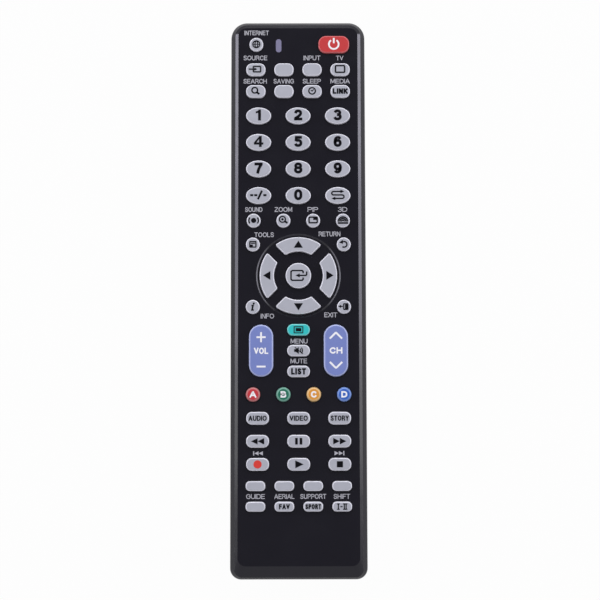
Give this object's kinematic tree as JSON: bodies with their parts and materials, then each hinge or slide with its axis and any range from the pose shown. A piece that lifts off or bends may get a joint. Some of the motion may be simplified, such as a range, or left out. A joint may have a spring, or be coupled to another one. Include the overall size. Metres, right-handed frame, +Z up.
{
  "type": "television remote control",
  "caption": "Slim handheld television remote control with rows of push keys, a round navigation pad, rocker keys, an infrared window and a hinged battery door.",
  "frame": {"origin": "on the surface that the casing lies on, under the middle of the casing", "axes": "+X across the casing to the right, +Y along it towards the infrared window, +Z up through the keys"},
  "size_m": [0.05, 0.2066, 0.0207],
  "materials": {
    "casing_black": "high gloss",
    "key_grey": "satin",
    "key_power": "satin",
    "key_teal": "satin",
    "key_lavender": "satin",
    "key_red": "satin",
    "key_green": "satin",
    "key_yellow": "satin",
    "key_blue": "satin",
    "smoked_window": "high gloss",
    "emitter_clear": "gloss",
    "indicator_milk": "gloss",
    "mat_rubber": "matte",
    "board_green": "satin",
    "chip_black": "matte",
    "capacitor_can": "satin",
    "contact_metal": "bright",
    "cell_jacket": "gloss",
    "screw_metal": "bright"
  },
  "bodies": {
    "casing": {"top_cover": "casing_black", "bottom_cover": "casing_black", "ir_window": "smoked_window", "battery_cells": "cell_jacket", "indicator_window": "indicator_milk", "case_screws": "screw_metal", "keypad_mat": "mat_rubber", "circuit_board": "board_green", "ir_led": "emitter_clear", "indicator_led": "indicator_milk", "controller_chip": "chip_black", "resonator": "chip_black", "capacitor": "capacitor_can", "driver_transistor": "chip_black", "resistors": "chip_black", "plate_contact": "contact_metal", "spring_contact": "contact_metal", "bridge_contact": "contact_metal"},
    "battery_door": {"battery_door": "casing_black"},
    "volume_key": {"volume_key": "key_lavender"},
    "channel_key": {"channel_key": "key_lavender"},
    "power_key": {"power_key": "key_power"},
    "up_key": {"up_key": "key_grey"},
    "down_key": {"down_key": "key_grey"},
    "left_key": {"left_key": "key_grey"},
    "right_key": {"right_key": "key_grey"},
    "select_key": {"select_key": "key_grey"},
    "one_key": {"one_key": "key_grey"},
    "two_key": {"two_key": "key_grey"},
    "three_key": {"three_key": "key_grey"},
    "four_key": {"four_key": "key_grey"},
    "five_key": {"five_key": "key_grey"},
    "six_key": {"six_key": "key_grey"},
    "seven_key": {"seven_key": "key_grey"},
    "eight_key": {"eight_key": "key_grey"},
    "nine_key": {"nine_key": "key_grey"},
    "zero_key": {"zero_key": "key_grey"},
    "dash_key": {"dash_key": "key_grey"},
    "swap_key": {"swap_key": "key_grey"},
    "input_keys": {"input_keys": "key_grey"},
    "search_keys": {"search_keys": "key_grey"},
    "picture_keys": {"picture_keys": "key_grey"},
    "corner_keys": {"corner_keys": "key_grey"},
    "audio_keys": {"audio_keys": "key_grey"},
    "guide_keys": {"guide_keys": "key_grey"},
    "favourite_keys": {"favourite_keys": "key_grey"},
    "internet_key": {"internet_key": "key_grey"},
    "menu_key": {"menu_key": "key_teal"},
    "mute_key": {"mute_key": "key_grey"},
    "list_key": {"list_key": "key_grey"},
    "red_key": {"red_key": "key_red"},
    "green_key": {"green_key": "key_green"},
    "yellow_key": {"yellow_key": "key_yellow"},
    "blue_key": {"blue_key": "key_blue"},
    "rewind_key": {"rewind_key": "key_grey"},
    "pause_key": {"pause_key": "key_grey"},
    "forward_key": {"forward_key": "key_grey"},
    "record_key": {"record_key": "key_grey"},
    "play_key": {"play_key": "key_grey"},
    "stop_key": {"stop_key": "key_grey"}
  },
  "joints": [
    {"name": "battery_door_hinge", "type": "hinge", "parent": "casing", "child": "battery_door", "pos_m": [0, -0.0805, 0.0008], "axis": [-1, 0, 0], "range_deg": [0, 60]},
    {"name": "volume_key_rock", "type": "hinge", "parent": "casing", "child": "volume_key", "pos_m": [-0.01367, -0.02041, 0.0181], "axis": [1, 0, 0], "range_deg": [-3, 3], "stiffness_Nm_per_rad": 0.18},
    {"name": "channel_key_rock", "type": "hinge", "parent": "casing", "child": "channel_key", "pos_m": [0.01367, -0.02041, 0.0181], "axis": [1, 0, 0], "range_deg": [-3, 3], "stiffness_Nm_per_rad": 0.18},
    {"name": "power_key_press", "type": "slide", "parent": "casing", "child": "power_key", "axis": [0, 0, -1], "range_m": [0, 0.0009], "stiffness_N_per_m": 800},
    {"name": "up_key_press", "type": "slide", "parent": "casing", "child": "up_key", "axis": [0, 0, -1], "range_m": [0, 0.0009], "stiffness_N_per_m": 800},
    {"name": "down_key_press", "type": "slide", "parent": "casing", "child": "down_key", "axis": [0, 0, -1], "range_m": [0, 0.0009], "stiffness_N_per_m": 800},
    {"name": "left_key_press", "type": "slide", "parent": "casing", "child": "left_key", "axis": [0, 0, -1], "range_m": [0, 0.0009], "stiffness_N_per_m": 800},
    {"name": "right_key_press", "type": "slide", "parent": "casing", "child": "right_key", "axis": [0, 0, -1], "range_m": [0, 0.0009], "stiffness_N_per_m": 800},
    {"name": "select_key_press", "type": "slide", "parent": "casing", "child": "select_key", "axis": [0, 0, -1], "range_m": [0, 0.0009], "stiffness_N_per_m": 800},
    {"name": "one_key_press", "type": "slide", "parent": "casing", "child": "one_key", "axis": [0, 0, -1], "range_m": [0, 0.0009], "stiffness_N_per_m": 800},
    {"name": "two_key_press", "type": "slide", "parent": "casing", "child": "two_key", "axis": [0, 0, -1], "range_m": [0, 0.0009], "stiffness_N_per_m": 800},
    {"name": "three_key_press", "type": "slide", "parent": "casing", "child": "three_key", "axis": [0, 0, -1], "range_m": [0, 0.0009], "stiffness_N_per_m": 800},
    {"name": "four_key_press", "type": "slide", "parent": "casing", "child": "four_key", "axis": [0, 0, -1], "range_m": [0, 0.0009], "stiffness_N_per_m": 800},
    {"name": "five_key_press", "type": "slide", "parent": "casing", "child": "five_key", "axis": [0, 0, -1], "range_m": [0, 0.0009], "stiffness_N_per_m": 800},
    {"name": "six_key_press", "type": "slide", "parent": "casing", "child": "six_key", "axis": [0, 0, -1], "range_m": [0, 0.0009], "stiffness_N_per_m": 800},
    {"name": "seven_key_press", "type": "slide", "parent": "casing", "child": "seven_key", "axis": [0, 0, -1], "range_m": [0, 0.0009], "stiffness_N_per_m": 800},
    {"name": "eight_key_press", "type": "slide", "parent": "casing", "child": "eight_key", "axis": [0, 0, -1], "range_m": [0, 0.0009], "stiffness_N_per_m": 800},
    {"name": "nine_key_press", "type": "slide", "parent": "casing", "child": "nine_key", "axis": [0, 0, -1], "range_m": [0, 0.0009], "stiffness_N_per_m": 800},
    {"name": "zero_key_press", "type": "slide", "parent": "casing", "child": "zero_key", "axis": [0, 0, -1], "range_m": [0, 0.0009], "stiffness_N_per_m": 800},
    {"name": "dash_key_press", "type": "slide", "parent": "casing", "child": "dash_key", "axis": [0, 0, -1], "range_m": [0, 0.0009], "stiffness_N_per_m": 800},
    {"name": "swap_key_press", "type": "slide", "parent": "casing", "child": "swap_key", "axis": [0, 0, -1], "range_m": [0, 0.0009], "stiffness_N_per_m": 800},
    {"name": "input_keys_press", "type": "slide", "parent": "casing", "child": "input_keys", "axis": [0, 0, -1], "range_m": [0, 0.0009], "stiffness_N_per_m": 3200},
    {"name": "search_keys_press", "type": "slide", "parent": "casing", "child": "search_keys", "axis": [0, 0, -1], "range_m": [0, 0.0009], "stiffness_N_per_m": 3200},
    {"name": "picture_keys_press", "type": "slide", "parent": "casing", "child": "picture_keys", "axis": [0, 0, -1], "range_m": [0, 0.0009], "stiffness_N_per_m": 3200},
    {"name": "corner_keys_press", "type": "slide", "parent": "casing", "child": "corner_keys", "axis": [0, 0, -1], "range_m": [0, 0.0009], "stiffness_N_per_m": 3200},
    {"name": "audio_keys_press", "type": "slide", "parent": "casing", "child": "audio_keys", "axis": [0, 0, -1], "range_m": [0, 0.0009], "stiffness_N_per_m": 2400},
    {"name": "guide_keys_press", "type": "slide", "parent": "casing", "child": "guide_keys", "axis": [0, 0, -1], "range_m": [0, 0.0009], "stiffness_N_per_m": 3200},
    {"name": "favourite_keys_press", "type": "slide", "parent": "casing", "child": "favourite_keys", "axis": [0, 0, -1], "range_m": [0, 0.0009], "stiffness_N_per_m": 3200},
    {"name": "internet_key_press", "type": "slide", "parent": "casing", "child": "internet_key", "axis": [0, 0, -1], "range_m": [0, 0.0009], "stiffness_N_per_m": 800},
    {"name": "menu_key_press", "type": "slide", "parent": "casing", "child": "menu_key", "axis": [0, 0, -1], "range_m": [0, 0.0009], "stiffness_N_per_m": 800},
    {"name": "mute_key_press", "type": "slide", "parent": "casing", "child": "mute_key", "axis": [0, 0, -1], "range_m": [0, 0.0009], "stiffness_N_per_m": 800},
    {"name": "list_key_press", "type": "slide", "parent": "casing", "child": "list_key", "axis": [0, 0, -1], "range_m": [0, 0.0009], "stiffness_N_per_m": 800},
    {"name": "red_key_press", "type": "slide", "parent": "casing", "child": "red_key", "axis": [0, 0, -1], "range_m": [0, 0.0009], "stiffness_N_per_m": 800},
    {"name": "green_key_press", "type": "slide", "parent": "casing", "child": "green_key", "axis": [0, 0, -1], "range_m": [0, 0.0009], "stiffness_N_per_m": 800},
    {"name": "yellow_key_press", "type": "slide", "parent": "casing", "child": "yellow_key", "axis": [0, 0, -1], "range_m": [0, 0.0009], "stiffness_N_per_m": 800},
    {"name": "blue_key_press", "type": "slide", "parent": "casing", "child": "blue_key", "axis": [0, 0, -1], "range_m": [0, 0.0009], "stiffness_N_per_m": 800},
    {"name": "rewind_key_press", "type": "slide", "parent": "casing", "child": "rewind_key", "axis": [0, 0, -1], "range_m": [0, 0.0009], "stiffness_N_per_m": 800},
    {"name": "pause_key_press", "type": "slide", "parent": "casing", "child": "pause_key", "axis": [0, 0, -1], "range_m": [0, 0.0009], "stiffness_N_per_m": 800},
    {"name": "forward_key_press", "type": "slide", "parent": "casing", "child": "forward_key", "axis": [0, 0, -1], "range_m": [0, 0.0009], "stiffness_N_per_m": 800},
    {"name": "record_key_press", "type": "slide", "parent": "casing", "child": "record_key", "axis": [0, 0, -1], "range_m": [0, 0.0009], "stiffness_N_per_m": 800},
    {"name": "play_key_press", "type": "slide", "parent": "casing", "child": "play_key", "axis": [0, 0, -1], "range_m": [0, 0.0009], "stiffness_N_per_m": 800},
    {"name": "stop_key_press", "type": "slide", "parent": "casing", "child": "stop_key", "axis": [0, 0, -1], "range_m": [0, 0.0009], "stiffness_N_per_m": 800}
  ]
}
